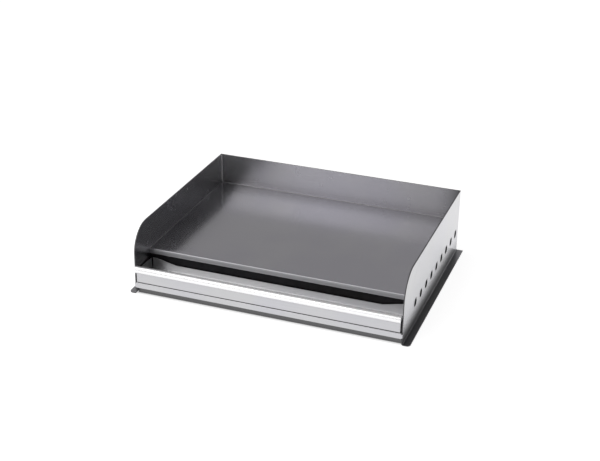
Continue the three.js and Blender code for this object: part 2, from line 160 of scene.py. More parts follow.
high_light = ramp(sky, backwards, *UPPER_FRONT_BACK_FADE, upper_front_light, UPPER_BACK_LIGHT, True)
upper_light = ramp(sky, height, *UPPER_FADE, lower_light, high_light, True)
light = ramp(sky, height, *ZENITH_FADE, upper_light, ZENITH_LIGHT, True)
put(sky, sky.nodes["Background"].inputs["Strength"], light)
put(sky, sky.nodes["Background"].inputs["Color"], ROOM_COLOUR)


def shader_parts(material):
    """A material's node tree, its shader, and the place on the piece, which patterns follow."""
    material.use_nodes = True
    tree = material.node_tree
    place = tree.nodes.new("ShaderNodeTexCoord").outputs["Object"]
    return tree, tree.nodes["Principled BSDF"], place


FLOOR_HALF = 20.0
FLOOR_DROP = 0.4 * mm
FLOOR_PALE = (0.5, 0.5, 0.5, 1.0)
FLOOR_ROUGHNESS = 0.9
FLOOR_GLOW = 0.86
GLOW_COLOUR = (1.0, 1.0, 1.0, 1.0)
SHADE_EDGE = 26 * mm
SHADE_INSET = 10 * mm
floor_mesh = bpy.data.meshes.new("floor")
floor_corners = [(x * FLOOR_HALF, y * FLOOR_HALF, -FLOOR_DROP)
                 for x, y in ((-1, -1), (1, -1), (1, 1), (-1, 1))]
floor_mesh.from_pydata(floor_corners, [], [(0, 1, 2, 3)])
floor = bpy.data.objects.new("floor", floor_mesh)
bpy.context.scene.collection.objects.link(floor)
pale = bpy.data.materials.new("pale_floor")
pale_tree, pale_shader, floor_place = shader_parts(pale)
for name, value in (("Base Color", FLOOR_PALE), ("Roughness", FLOOR_ROUGHNESS),
                    ("Specular IOR Level", 0.0), ("Emission Color", GLOW_COLOUR)):
    put(pale_tree, pale_shader.inputs[name], value)
floor_spot = add_node(pale_tree, "ShaderNodeSeparateXYZ", Vector=floor_place)
# The glow fades out under the body and a little round it: a painted shadow beneath the griddle.
shade_sides = []
for axis in (0, 1):
    middle = (cad_bounds[0][axis] + cad_bounds[1][axis]) / 2
    reach = (cad_bounds[1][axis] - cad_bounds[0][axis]) / 2
    away = maths(pale_tree, "ABSOLUTE",
                 maths(pale_tree, "SUBTRACT", floor_spot.outputs[axis], middle))
    shade_sides.append(ramp(pale_tree, away, reach - SHADE_EDGE, reach - SHADE_INSET, 0.0,
                            FLOOR_GLOW, True))
put(pale_tree, pale_shader.inputs["Emission Strength"], maths(pale_tree, "MAXIMUM", *shade_sides))
floor_mesh.materials.append(pale)

SOFT_LIGHT_SIZE = 1.6
SOFT_LIGHT_PLACE = Vector((-1.3, -1.9, 2.6))
SOFT_LIGHT_POWER = 12.0
soft = bpy.data.lights.new("soft_light", "AREA")
soft.size = SOFT_LIGHT_SIZE
soft.energy = SOFT_LIGHT_POWER
soft_light = bpy.data.objects.new("soft_light", soft)
soft_light.location = SOFT_LIGHT_PLACE
soft_light.rotation_euler = SOFT_LIGHT_PLACE.to_track_quat("Z", "Y").to_euler()
bpy.context.scene.collection.objects.link(soft_light)


# Side panels
# One stainless sheet each side, brushed from front to back, with a big round at the top front
# corner, a row of vent holes under the plate, and a foot flange folded outwards at the bottom.
PANEL_SHEET = 2.5 * mm
PANEL_CORNER = 60 * mm
PANEL_BEND = 2.5 * mm + PANEL_SHEET / 2
FOOT_CORNER = 8 * mm
FOOT_CORNER_STEPS = 6
VENT_RADIUS = 8.25 * mm
VENT_PITCH = 44.65 * mm
VENT_DROP = 13.3 * mm
VENT_END_MARGIN = 22 * mm
VENT_SIDE_STEPS = 10
VENT_RING_STEPS = 4
VENT_RING_CROWDING = 2.2
STRIP_GAP = 1 * mm
WEB_ROWS = 6
DEBURR = 0.35 * mm
DEBURR_STEPS = 2
SHARP_TURN = math.radians(50)
MEETING = 0.002 * mm
SAME_PLACE_DECIMALS = 7

panel_low, panel_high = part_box("side_panel_right")
plate_low, plate_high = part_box("griddle_plate")
inner_half = panel_low.x
panel_middle = inner_half + PANEL_SHEET / 2
vent_height = plate_low.z - VENT_DROP
strip_foot = vent_height - VENT_PITCH / 2 - STRIP_GAP


def grid_faces(rows, columns, first=0):
    """Quads of a grid of points laid out row by row: each joins a point, the next in its row,
    and the two above them."""
    corner = (np.arange(rows - 1)[:, None] * columns + np.arange(columns - 1)).ravel() + first
    return np.stack([corner, corner + 1, corner + columns + 1, corner + columns], axis=1)


def make_piece(name, patches, body, finish, stands_for=()):
    """Joins grids of points into one mesh, welding the points that meet, and hands it to a body."""
    points, faces, count = [], [], 0
    for patch in patches:
        rows, columns = patch.shape[:2]
        points.append(patch.reshape(-1, 3))
        faces.append(grid_faces(rows, columns, count))
        count += rows * columns
    mesh = bpy.data.meshes.new(name)
    mesh.from_pydata(np.concatenate(points).tolist(), [], np.concatenate(faces).tolist())
    shell = bmesh.new()
    shell.from_mesh(mesh)
    bmesh.ops.remove_doubles(shell, verts=shell.verts, dist=MEETING)
    bmesh.ops.recalc_face_normals(shell, faces=shell.faces)
    shell.to_mesh(mesh)
    shell.free()
    mesh.polygons.foreach_set("use_smooth", np.ones(len(mesh.polygons), bool))
    made = bpy.data.objects.new(name, mesh)
    bpy.context.scene.collection.objects.link(made)
    mesh.materials.append(finish)
    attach(made, body)
    if stands_for:
        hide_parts(*stands_for)
    return made


def give_sheet(made, thickness, deburr=DEBURR, cut_finish=None):
    """Gives a surface the thickness of its sheet, half to each side, with a finish of their own
    for the cut edges if there is one, and breaks those edges."""
    wall = made.modifiers.new("sheet", "SOLIDIFY")
    wall.thickness = thickness
    wall.offset = 0.0
    wall.use_even_offset = True
    if cut_finish:
        made.data.materials.append(cut_finish)
        wall.material_offset_rim = 1
    break_edges(made, deburr)


def break_edges(made, deburr=DEBURR):
    """Rounds every sharp edge by a little, as a file or a linishing belt does."""
    edge_round = made.modifiers.new("deburred_edges", "BEVEL")
    edge_round.width = deburr
    edge_round.segments = DEBURR_STEPS
    edge_round.limit_method = "ANGLE"
    edge_round.angle_limit = SHARP_TURN
    shade = made.modifiers.new("even_shading", "WEIGHTED_NORMAL")
    shade.keep_sharp = True


def bent_line(corners, radius, steps=6):
    """A line through corners in a plane, each corner turned on an arc of the given radius: the arc
    starts radius x tan(half the turn) before the corner, and turns evenly about its centre."""
    corners = np.asarray(corners, float)
    line = [corners[:1]]
    for before, corner, after in zip(corners[:-2], corners[1:-1], corners[2:]):
        into = (corner - before) / np.linalg.norm(corner - before)
        out = (after - corner) / np.linalg.norm(after - corner)
        turn = math.atan2(into[0] * out[1] - into[1] * out[0], into @ out)
        start = corner - into * radius * math.tan(abs(turn) / 2)
        centre = start + np.array([-into[1], into[0]]) * math.copysign(radius, turn)
        angles = turn * np.linspace(0, 1, steps + 1)
        arm = start - centre
        line.append(centre + np.stack([arm[0] * np.cos(angles) - arm[1] * np.sin(angles),
                                       arm[0] * np.sin(angles) + arm[1] * np.cos(angles)], axis=1))
    line.append(corners[-1:])
    return np.concatenate(line)


def carried(along, line, starts=None):
    """Carries a line (out, up) along a length. Each row may start later than the first place, and
    its places close up evenly so that they all end together. Gives points (along, out, up)."""
    starts = np.full(len(line), along[0]) if starts is None else starts
    share = (along - along[0]) / (along[-1] - along[0])
    length = starts[:, None] + share[None, :] * (along[-1] - starts)[:, None]
    return np.stack([length, *np.broadcast_arrays(line[:, :1], line[:, 1:], length)[:2]], axis=2)


def vent_places(centre, length):
    """Places along a row of vents that fills the length about its centre at the vent pitch."""
    steps = math.floor((length - 2 * VENT_END_MARGIN) / VENT_PITCH)
    return centre + (np.arange(steps + 1) - steps / 2) * VENT_PITCH


def vent_spacing(centre):
    """Places across one vent's square, where rays at even angles from its centre meet its edge."""
    return centre + VENT_PITCH / 2 * np.tan(np.linspace(-1, 1, VENT_SIDE_STEPS + 1) * math.pi / 4)


def vent_square(centre, height, out):
    """A square of sheet round one vent: along each ray from the centre, points run from the rim of
    the hole to the edge of the square, closer together at the rim."""
    turn = math.pi / 4 + np.linspace(0, 2 * math.pi, 4 * VENT_SIDE_STEPS + 1)
    edge_reach = VENT_PITCH / 2 / np.maximum(abs(np.cos(turn)), abs(np.sin(turn)))
    share = np.linspace(0, 1, VENT_RING_STEPS + 1)[:, None] ** VENT_RING_CROWDING
    reach = VENT_RADIUS + share * (edge_reach - VENT_RADIUS)[None, :]
    return np.stack([centre + reach * np.cos(turn), np.full_like(reach, out),
                     height + reach * np.sin(turn)], axis=2)


def vented_sheet(first, last, vents, foot, foot_starts, web, top, corner, steps=12):
    """A folded sheet in patches: its foot and bend, the strip with a square for every vent, and
    the sheet above, whose front follows a quarter circle of radius `corner` to the top edge."""
    squares = np.unique(np.round(np.concatenate([vent_spacing(v) for v in vents]),
                                 SAME_PLACE_DECIMALS))
    ends = [np.linspace(first, squares[0], steps + 1), np.linspace(squares[-1], last, steps // 2 + 1)]
    along = np.concatenate([ends[0], squares[1:-1], ends[1]])
    strip = vent_spacing(vent_height)
    patches = [carried(along, np.concatenate([foot, [[web, strip[0]]]]),
                       np.append(foot_starts, first))]
    patches += [vent_square(v, vent_height, web) for v in vents]
    strip_line = np.stack([np.full_like(strip, web), strip], axis=1)
    patches += [carried(end, strip_line) for end in ends]
    angle = np.linspace(0, math.pi / 2, steps + 1) if corner else np.array([math.pi / 2])
    heights = np.concatenate([[strip[-1]], top - corner + corner * np.sin(angle)])
    starts = np.concatenate([[first], first + corner * (1 - np.cos(angle))])
    patches.append(carried(along, np.stack([np.full_like(heights, web), heights], axis=1), starts))
    return patches


LINE_DETAIL = 7.0
LINE_FINENESS = 0.7
LINE_RANGE = (0.3, 0.7)
LINE_DULLING = 0.02
LINE_HEIGHT = 0.3 * mm
CLOUD_SCALE = 7.0
CLOUD_DETAIL = 3.0
CLOUD_RANGE = (0.35, 0.65)
SMEAR_SCALE = 26.0
SMEAR_DETAIL = 5.0
SMEAR_FINENESS = 0.6
SMEAR_WANDER = 1.6
SMEAR_RANGE = (0.5, 0.75)
SMEAR_DULLING = 0.04
QUARTER_TURN = 0.25
PLAIN = (1.0, 1.0, 1.0)


def mixed(tree, share, first, second, blend="MIX"):
    """Fades a first colour into a second by a share, or multiplies it by the second."""
    node = tree.nodes.new("ShaderNodeMix")
    node.data_type = "RGBA"
    node.blend_type = blend
    for place, entry in ((0, share), (6, first), (7, second)):
        put(tree, node.inputs[place], (*entry, 1.0) if isinstance(entry, tuple) else entry)
    return node.outputs[2]


def source(shader, name):
    """The output that feeds a socket of a shader."""
    return shader.inputs[name].links[0].from_socket


def brushed(name, colour, grain, rough, tint=PLAIN, streak=0.05, bump=0.03, run=None, spread=0.0):
    """Brushed steel. Fine lines are noise drawn out along the grain; they lighten the metal, rough
    it and stand up a little. Slow cloudy noise tints it, and a third noise leaves wiped smears.
    Where the grain runs one way, reflections spread out square to it."""
    material = bpy.data.materials.new(name)
    tree, shader, place = shader_parts(material)
    drawn = add_node(tree, "ShaderNodeMapping", Vector=place, Scale=grain)
    lines = add_node(tree, "ShaderNodeTexNoise", Vector=drawn.outputs[0], Scale=1.0,
                     Detail=LINE_DETAIL, Roughness=LINE_FINENESS).outputs[0]
    clouds = add_node(tree, "ShaderNodeTexNoise", Vector=place, Scale=CLOUD_SCALE,
                      Detail=CLOUD_DETAIL).outputs[0]
    smears = add_node(tree, "ShaderNodeTexNoise", Vector=place, Scale=SMEAR_SCALE,
                      Detail=SMEAR_DETAIL, Roughness=SMEAR_FINENESS,
                      Distortion=SMEAR_WANDER).outputs[0]
    dull = tuple(c * (1 - streak) for c in colour)
    bright = tuple(c * (1 + streak) for c in colour)
    metal = mixed(tree, ramp(tree, lines, *LINE_RANGE, 0.0, 1.0), dull, bright)
    clouded = ramp(tree, clouds, *CLOUD_RANGE, 0.0, 1.0, True)
    put(tree, shader.inputs["Base Color"], mixed(tree, clouded, metal, tint, "MULTIPLY"))
    smear_rough = ramp(tree, smears, *SMEAR_RANGE, rough, rough + SMEAR_DULLING, True)
    line_rough = ramp(tree, lines, *LINE_RANGE, -LINE_DULLING, LINE_DULLING)
    put(tree, shader.inputs["Roughness"], maths(tree, "ADD", smear_rough, line_rough))
    raised = add_node(tree, "ShaderNodeBump", Strength=bump, Distance=LINE_HEIGHT, Height=lines)
    put(tree, shader.inputs["Normal"], raised.outputs[0])
    shader.inputs["Metallic"].default_value = 1.0
    if run:
        grain_way = add_node(tree, "ShaderNodeCombineXYZ", X=run[0], Y=run[1], Z=run[2])
        put(tree, shader.inputs["Tangent"], grain_way.outputs[0])
        shader.inputs["Anisotropic"].default_value = spread
        shader.inputs["Anisotropic Rotation"].default_value = QUARTER_TURN
    return material


# One dark colour for real soot round the vents and for painted shade at the side panels' feet.
STAIN_AND_SHADE = (0.06, 0.06, 0.062)
STAIN_AND_SHADE_ROUGHNESS = 0.4
VENT_STAIN_FULL = 0.7 * mm
VENT_STAIN_REACH = 3.0 * mm
# Painted shade at the panels' feet, standing in for a dark floor reflected in the steel: full up to one
# height, gone by another, and stronger on the right panel than the left.
FOOT_SHADE_FULL = 6 * mm
FOOT_SHADE_REACH = 47 * mm
PAINTED_FOOT_SHADES = {"left": (0.35, 0.0, 1.0), "right": (0.87, 0.36, 0.5)}
foot_edge = panel_high.x - inner_half


def stained_and_shaded(material):
    """Darkens and dulls a finish where the piece's own darkening value is high: soot round the vents,
    painted shade at the side panels' feet, and a darkening towards the splash's right end.
    """
    tree = material.node_tree
    shader = tree.nodes["Principled BSDF"]
    stain_and_shade = tree.nodes.new("ShaderNodeAttribute")
    stain_and_shade.attribute_name = "stain_and_shade"
    share = stain_and_shade.outputs["Fac"]
    put(tree, shader.inputs["Base Color"], mixed(tree, share, source(shader, "Base Color"), STAIN_AND_SHADE))
    put(tree, shader.inputs["Roughness"],
        ramp(tree, share, 0.0, 1.0, source(shader, "Roughness"), STAIN_AND_SHADE_ROUGHNESS))


def points_of(made):
    """The points of a piece, one row each."""
    points = np.zeros(len(made.data.vertices) * 3)
    made.data.vertices.foreach_get("co", points)
    return points.reshape(-1, 3)


def vent_stain(points, axis, vents):
    """A stain that is full close to the rim of a vent and gone a little way out from it."""
    away = np.hypot(points[:, axis, None] - vents[None, :], points[:, 2, None] - vent_height).min(1)
    return np.interp(away - VENT_RADIUS, [VENT_STAIN_FULL, VENT_STAIN_REACH], [1.0, 0.0])


def painted_foot_shade(points, strong, at_edge, at_rear):
    """Painted shade that is strongest in the fold of the foot. It fades smoothly with height, evenly
    across the flange to the strength at its edge, and towards the rear to a share of itself."""
    down = np.clip((FOOT_SHADE_REACH - points[:, 2]) / (FOOT_SHADE_REACH - FOOT_SHADE_FULL), 0, 1)
    out = np.clip((abs(points[:, 0]) - panel_middle) / (foot_edge - PANEL_SHEET / 2), 0, 1)
    back = (points[:, 1] - panel_low.y) / (panel_high.y - panel_low.y)
    flat = strong + (at_edge - strong) * out
    upright = strong * down ** 2 * (3 - 2 * down)
    return np.where(points[:, 2] < PANEL_SHEET * 2, flat, upright) * (1 + (at_rear - 1) * back)


def give_stain_and_shade(made, strength):
    """Keeps a darkening value, from 0 to 1, for each point of a piece: soot, painted shade and plain
    darkening, as the caller gives them.
    """
    stain_and_shade = made.data.attributes.new("stain_and_shade", "FLOAT", "POINT")
    stain_and_shade.data.foreach_set("value", np.clip(strength, 0, 1))


FINE = 1300.0
LONG = 12.0
FRONT_TO_BACK = (0.0, 1.0, 0.0)
SIDE_TO_SIDE = (1.0, 0.0, 0.0)
STAINLESS = (0.485, 0.483, 0.492)
STAINLESS_BRIGHT = (0.56, 0.56, 0.57)
COOL_TINT = (0.97, 0.97, 1.0)
SPREAD = 0.7
SHEET_ROUGHNESS = 0.24
SHEET_BUMP = 0.015
CUT_EDGE = (0.12, 0.12, 0.122)
CUT_EDGE_TINT = (0.9, 0.9, 0.9)
CUT_EDGE_ROUGHNESS = 0.5
panel_finish = brushed("brushed_front_to_back", STAINLESS_BRIGHT, (FINE, LONG, FINE),
                       SHEET_ROUGHNESS, COOL_TINT, bump=SHEET_BUMP, run=FRONT_TO_BACK,
                       spread=SPREAD)
splash_finish = brushed("brushed_side_to_side", STAINLESS, (LONG, FINE, FINE), SHEET_ROUGHNESS,
                        COOL_TINT, bump=SHEET_BUMP, run=SIDE_TO_SIDE, spread=SPREAD)
cut_edge_finish = brushed("dull_cut_edge", CUT_EDGE, (FINE, FINE, FINE), CUT_EDGE_ROUGHNESS,
                          CUT_EDGE_TINT, streak=0.1, bump=0.1)
for finish in (panel_finish, splash_finish, cut_edge_finish):
    stained_and_shaded(finish)

side_vents = vent_places((plate_low.y + plate_high.y) / 2, plate_high.y - plate_low.y)
foot_line = bent_line([(foot_edge - FOOT_CORNER, PANEL_SHEET / 2), (PANEL_SHEET / 2, PANEL_SHEET / 2),
                       (PANEL_SHEET / 2, strip_foot)], PANEL_BEND)
round_steps = np.linspace(math.pi / 2, 0, FOOT_CORNER_STEPS + 1)[:-1]
foot_round = np.stack([foot_edge - FOOT_CORNER * (1 - np.sin(round_steps)),
                       np.full(FOOT_CORNER_STEPS, PANEL_SHEET / 2)], axis=1)
web_rows = np.column_stack([np.full(WEB_ROWS, PANEL_SHEET / 2),
                            np.linspace(foot_line[-2, 1], foot_line[-1, 1], WEB_ROWS + 2)[1:-1]])
foot_line = np.concatenate([foot_round, foot_line[:-1], web_rows, foot_line[-1:]])
foot_starts = np.concatenate([panel_low.y + FOOT_CORNER * (1 - np.cos(round_steps)),
                              np.full(len(foot_line) - FOOT_CORNER_STEPS, panel_low.y)])
panel_patches = vented_sheet(panel_low.y, panel_high.y, side_vents, foot_line, foot_starts,
                             PANEL_SHEET / 2, panel_high.z, PANEL_CORNER)
for side, label in ((-1, "left"), (1, "right")):
    placed = [np.stack([side * (inner_half + p[..., 1]), p[..., 0], p[..., 2]], axis=2)
              for p in panel_patches]
    panel = make_piece(f"side_panel_{label}_sheet", placed, "body",
                       panel_finish, (f"side_panel_{label}",))
    # Each panel gets soot round its vents and painted shade towards its foot.
    spots = points_of(panel)
    give_stain_and_shade(panel, np.maximum(vent_stain(spots, 1, side_vents),
                                 painted_foot_shade(spots, *PAINTED_FOOT_SHADES[label])))
    give_sheet(panel, PANEL_SHEET, cut_finish=cut_edge_finish)


# Back splash
# A sheet across the back, brushed from side to side, welded to both side panels. It has its own
# row of vents, and a flange folded forwards along the bottom keeps it straight.
# The splash grows darker towards its right-hand end.
SPLASH_END_DARKENING = 0.75
SPLASH_END_DARKENING_REACH = 55 * mm
SPLASH_END_DARKENING_CURVE = 1.5
splash_low, splash_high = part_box("back_splash")
back_inner = splash_high.y - PANEL_SHEET
back_vents = vent_places(0.0, plate_high.x - plate_low.x)
return_edge = back_inner - splash_low.y
return_line = bent_line([(return_edge, PANEL_SHEET / 2), (-PANEL_SHEET / 2, PANEL_SHEET / 2),
                         (-PANEL_SHEET / 2, strip_foot)], PANEL_BEND)
splash_patches = vented_sheet(splash_low.x, splash_high.x, back_vents, return_line,
                              np.full(len(return_line), splash_low.x), -PANEL_SHEET / 2,
                              splash_high.z, 0.0, steps=4)
placed = [np.stack([p[..., 0], back_inner - p[..., 1], p[..., 2]], axis=2) for p in splash_patches]
splash = make_piece("back_splash_sheet", placed, "body", splash_finish,
                    ("back_splash",))
spots = points_of(splash)
to_corner = np.clip(1 - (splash_high.x - spots[:, 0]) / SPLASH_END_DARKENING_REACH, 0, 1)
give_stain_and_shade(splash, np.maximum(vent_stain(spots, 0, back_vents),
                              SPLASH_END_DARKENING * to_corner ** SPLASH_END_DARKENING_CURVE))
give_sheet(splash, PANEL_SHEET, cut_finish=cut_edge_finish)


# Cooking plate
# One thick steel plate, ground flat and darkened by heat and oil. Its front edge is rounded top
# and bottom for the scraper, and the other edges are only broken.
PLATE_FRONT_ROUND = 2 * mm
PLATE_EDGE_BREAK = 0.4 * mm
PLATE_STEEL = (0.57, 0.565, 0.59)
PLATE_TINT = (0.95, 0.945, 0.97)
PLATE_ROUGHNESS = 0.19
PLATE_SPREAD = 0.4
PLATE_METALLIC = 0.95
SCRAPER_GRAIN = (230.0, 6.0, 1.0)
SCRAPER_DETAIL = 4.0
SCRAPER_FINENESS = 0.5
SCRAPER_RANGE = (0.55, 0.8)
SCRAPER_DULLING = 0.05
FLECK_SCALE = 340.0
FLECK_DETAIL = 2.0
FLECK_RANGE = (0.66, 0.8)
FLECK_STRENGTH = 0.6
FLECK_OIL = (0.80, 0.78, 0.76)
# Painted reflection: the plate is made darker along its back, beside the splash.
PAINTED_BACK_REFLECTION = (0.62, 0.61, 0.62)
PAINTED_BACK_REFLECTION_REACH = 70 * mm
WORN_EDGE = (0.60, 0.60, 0.62)
WORN_ROUGHNESS = 0.5
WORN_FULL = 0.5 * mm


def rounded_slab(low, high, front_round, edge_break, columns=40, rows=28, turn_steps=6):
    """A slab with rounded edges: a grid for the top, the same for the bottom, and rings round the
    edge that swing from facing up to facing down, out by the sine and down by the cosine."""
    across_places = np.linspace(low.x + edge_break, high.x - edge_break, columns + 1)
    deep_places = np.linspace(low.y + front_round, high.y - edge_break, rows + 1)
    wide, deep = np.meshgrid(across_places, deep_places)
    patches = [np.stack([wide, deep, np.full_like(wide, z)], axis=2) for z in (low.z, high.z)]
    ring = np.concatenate([
        np.stack([across_places, np.full(columns + 1, deep_places[0])], axis=1),
        np.stack([np.full(rows + 1, across_places[-1]), deep_places], axis=1),
        np.stack([across_places[::-1], np.full(columns + 1, deep_places[-1])], axis=1),
        np.stack([np.full(rows + 1, across_places[0]), deep_places[::-1]], axis=1)])
    push = np.zeros_like(ring)
    push[:, 0] = edge_break * (np.isclose(ring[:, 0], across_places[-1]) * 1.0
                               - np.isclose(ring[:, 0], across_places[0]))
    push[:, 1] = (edge_break * np.isclose(ring[:, 1], deep_places[-1])
                  - front_round * np.isclose(ring[:, 1], deep_places[0]))
    drop = np.where(push[:, 1] < 0, front_round, edge_break)
    swing = np.linspace(0, math.pi / 2, turn_steps + 1)
    upper = [(ring + push * math.sin(a), high.z - drop * (1 - math.cos(a))) for a in swing]
    lower = [(ring + push * math.sin(a), low.z + drop * (1 - math.cos(a))) for a in swing[::-1]]
    rim = np.stack([np.column_stack([plan, height]) for plan, height in upper + lower])
    return patches + [rim]


def griddle_steel(name):
    """Ground and heated steel: grinding lines run across the plate, slow noise darkens it like
    baked oil, small dark flecks dull it, and faint scraper marks run from back to front. It is
    painted darker along the back as a reflection of the splash, and the scraper wears the front
    edge bright."""
    material = brushed(name, PLATE_STEEL, (LONG * 2, FINE, FINE), PLATE_ROUGHNESS, PLATE_TINT,
                       streak=0.03, bump=0.02, run=SIDE_TO_SIDE, spread=PLATE_SPREAD)
    tree, shader, place = shader_parts(material)
    depth = add_node(tree, "ShaderNodeSeparateXYZ", Vector=place).outputs["Y"]
    scraped = add_node(tree, "ShaderNodeMapping", Vector=place, Scale=SCRAPER_GRAIN)
    marks = add_node(tree, "ShaderNodeTexNoise", Vector=scraped.outputs[0], Scale=1.0,
                     Detail=SCRAPER_DETAIL, Roughness=SCRAPER_FINENESS).outputs[0]
    flecks = add_node(tree, "ShaderNodeTexNoise", Vector=place, Scale=FLECK_SCALE,
                      Detail=FLECK_DETAIL).outputs[0]
    flecked = ramp(tree, flecks, *FLECK_RANGE, 0.0, FLECK_STRENGTH, True)
    oiled = mixed(tree, flecked, source(shader, "Base Color"), FLECK_OIL, "MULTIPLY")
    # Painted reflection of the splash: darker towards the back of the plate.
    to_back = ramp(tree, depth, plate_high.y - PAINTED_BACK_REFLECTION_REACH, plate_high.y, 0.0, 1.0, True)
    back_reflected = mixed(tree, to_back, oiled, PAINTED_BACK_REFLECTION, "MULTIPLY")
    worn = ramp(tree, depth, plate_low.y + WORN_FULL, plate_low.y + PLATE_FRONT_ROUND, 1.0, 0.0,
                True)
    put(tree, shader.inputs["Base Color"], mixed(tree, worn, back_reflected, WORN_EDGE))
    marked = maths(tree, "ADD", source(shader, "Roughness"),
                   ramp(tree, marks, *SCRAPER_RANGE, 0.0, SCRAPER_DULLING, True))
    put(tree, shader.inputs["Roughness"], ramp(tree, worn, 0.0, 1.0, marked, WORN_ROUGHNESS))
    shader.inputs["Metallic"].default_value = PLATE_METALLIC
    return material


make_piece("griddle_plate_slab",
           rounded_slab(plate_low, plate_high, PLATE_FRONT_ROUND, PLATE_EDGE_BREAK),
           "body", griddle_steel("ground_griddle_steel"), ("griddle_plate",))


# Seal and corner welds
# Thin runs of weld close the plate to the splash on three sides and join the splash's corners. The
# seal is left as laid, with a fine ripple, and the corners are ground to a bright line.
SEAL_RADIUS = 0.9 * mm
SEAL_SINK = 0.3 * mm
SEAL_FRONT_GAP = 1 * mm
CORNER_RADIUS = 1.0 * mm
CORNER_TOP_GAP = 0.6 * mm
RIPPLE_PITCH = 2.2 * mm
RIPPLE_STEPS = 4
RIPPLE_SHARE = 0.13
RIPPLE_LEAN = 1.2
BEAD_SIDES = 10
OFF_SQUARE = (0.3, 0.5, 0.8)
WELD_GRAIN = (300.0, 300.0, 300.0)
WELD_METAL = (0.40, 0.40, 0.405)
WELD_TINT = (0.93, 0.91, 0.89)
WELD_ROUGHNESS = 0.42
GROUND_WELD = (0.85, 0.85, 0.855)
GROUND_TINT = (0.95, 0.95, 0.96)
GROUND_ROUGHNESS = 0.5


def weld_run(start, end, radius):
    """A circle carried from start to end. Its radius swells and sinks with the ripple, which leans
    back round the bead as the pool froze, and dies to nothing at both ends."""
    start, end = np.asarray(start, float), np.asarray(end, float)
    length = np.linalg.norm(end - start)
    line = (end - start) / length
    side = np.cross(line, OFF_SQUARE)
    side /= np.linalg.norm(side)
    other = np.cross(line, side)
    count = int(length / RIPPLE_PITCH * RIPPLE_STEPS)
    run = np.linspace(0, length, count + 1)[:, None]
    turn = np.linspace(0, 2 * math.pi, BEAD_SIDES + 1)[None, :]
    wave = np.sin(2 * math.pi * run / RIPPLE_PITCH + RIPPLE_LEAN * np.cos(turn))
    near_end = np.minimum(run, length - run) / (2 * radius)
    taper = np.sqrt(np.clip(1 - (1 - np.minimum(near_end, 1)) ** 2, 0, 1))
    reach = radius * (1 + RIPPLE_SHARE * wave) * taper
    return (start + run[..., None] * line + (reach * np.cos(turn))[..., None] * side
            + (reach * np.sin(turn))[..., None] * other)


weld_finish = brushed("wire_brushed_weld", WELD_METAL, WELD_GRAIN, WELD_ROUGHNESS, WELD_TINT,
                      streak=0.12, bump=0.15)
ground_weld_finish = brushed("ground_weld", GROUND_WELD, WELD_GRAIN, GROUND_ROUGHNESS, GROUND_TINT,
                             streak=0.08, bump=0.1)
seam_x, seam_y, seam_z = inner_half, back_inner, plate_high.z - SEAL_SINK
seam_front = plate_low.y + SEAL_FRONT_GAP
seal_runs = [weld_run((-seam_x, seam_front, seam_z), (-seam_x, seam_y, seam_z), SEAL_RADIUS),
             weld_run((seam_x, seam_front, seam_z), (seam_x, seam_y, seam_z), SEAL_RADIUS),
             weld_run((-seam_x, seam_y, seam_z), (seam_x, seam_y, seam_z), SEAL_RADIUS)]
make_piece("plate_seal_weld", seal_runs, "body", weld_finish)
corner_runs = [weld_run((x, seam_y, seam_z), (x, seam_y, splash_high.z - CORNER_TOP_GAP),
                        CORNER_RADIUS) for x in (-seam_x, seam_x)]
make_piece("corner_weld", corner_runs, "body", ground_weld_finish)


# Stiffener bars and heat baffle
# Three flat bars on edge under the plate, and a sheet that closes the burner space off from the
# drawer. Both are steel that has gone dull and brown-black with heat, and the baffle's near-black
# also serves as painted shade in the opening under the plate's front edge.
SCALED_STEEL_AND_SHADE = (0.055, 0.055, 0.060)
SCALED_TINT = (0.85, 0.80, 0.77)
SCALED_ROUGHNESS = 0.55
SCALED_GRAIN = (60.0, 60.0, 60.0)
BAR_DEBURR = 0.5 * mm
THIN_SHEET_DEBURR = 0.2 * mm
JOINING = 0.01 * mm
# Near-black heat scale; on the baffle it is also painted shade in the opening under the plate.
scale_and_shade_finish = brushed("heat_darkened_steel_and_shade", SCALED_STEEL_AND_SHADE, SCALED_GRAIN, SCALED_ROUGHNESS,
                        SCALED_TINT, streak=0.25, bump=0.3)


def keep_node(node, finish, deburr):
    """Keeps a node of the frame as it is, welds its loose triangles, breaks its edges and gives it
    a finish."""
    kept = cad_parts[node]
    kept.data.materials.clear()
    kept.data.materials.append(finish)
    weld = kept.modifiers.new("joined", "WELD")
    weld.merge_threshold = JOINING
    break_edges(kept, deburr)


for node in ("plate_stiffener_1", "plate_stiffener_2", "plate_stiffener_3"):
    keep_node(node, scale_and_shade_finish, BAR_DEBURR)
keep_node("heat_baffle", scale_and_shade_finish, THIN_SHEET_DEBURR)


# Plate fixings
# Six angle brackets carry the plate. A threaded stud under the plate drops through the slot of
# each bracket and is held by a washer and a nut, all zinc plated.
STUD_THREAD_PITCH = 1.0 * mm
STUD_THREAD_DEPTH = 0.35 * mm
STUD_POINT = 0.8 * mm
STUD_SIDES = 20
STUD_PITCH_STEPS = 5
STUD_CLEARANCE = 0.3 * mm
NUT_CHAMFER_START = 0.97
NUT_CHAMFER_SLOPE = 1.7
WASHER_ROUND = 0.25 * mm
WASHER_ROUND_SLOPE = 2
RING_HEIGHTS = np.array([0, 0, 0.04, 0.1, 0.2, 0.8, 0.9, 0.96, 1, 1, 0])
RING_INSIDE = np.array([1, 0, 0, 0, 0, 0, 0, 0, 0, 1, 1])
BRACKET_DEBURR = 0.3 * mm
ZINC = (0.60, 0.605, 0.60)
ZINC_TINT = (0.94, 0.93, 0.86)
ZINC_ROUGHNESS = 0.34
ZINC_GRAIN = (140.0, 140.0, 140.0)
plated_finish = brushed("zinc_plated_steel", ZINC, ZINC_GRAIN, ZINC_ROUGHNESS, ZINC_TINT,
                        streak=0.08, bump=0.2)


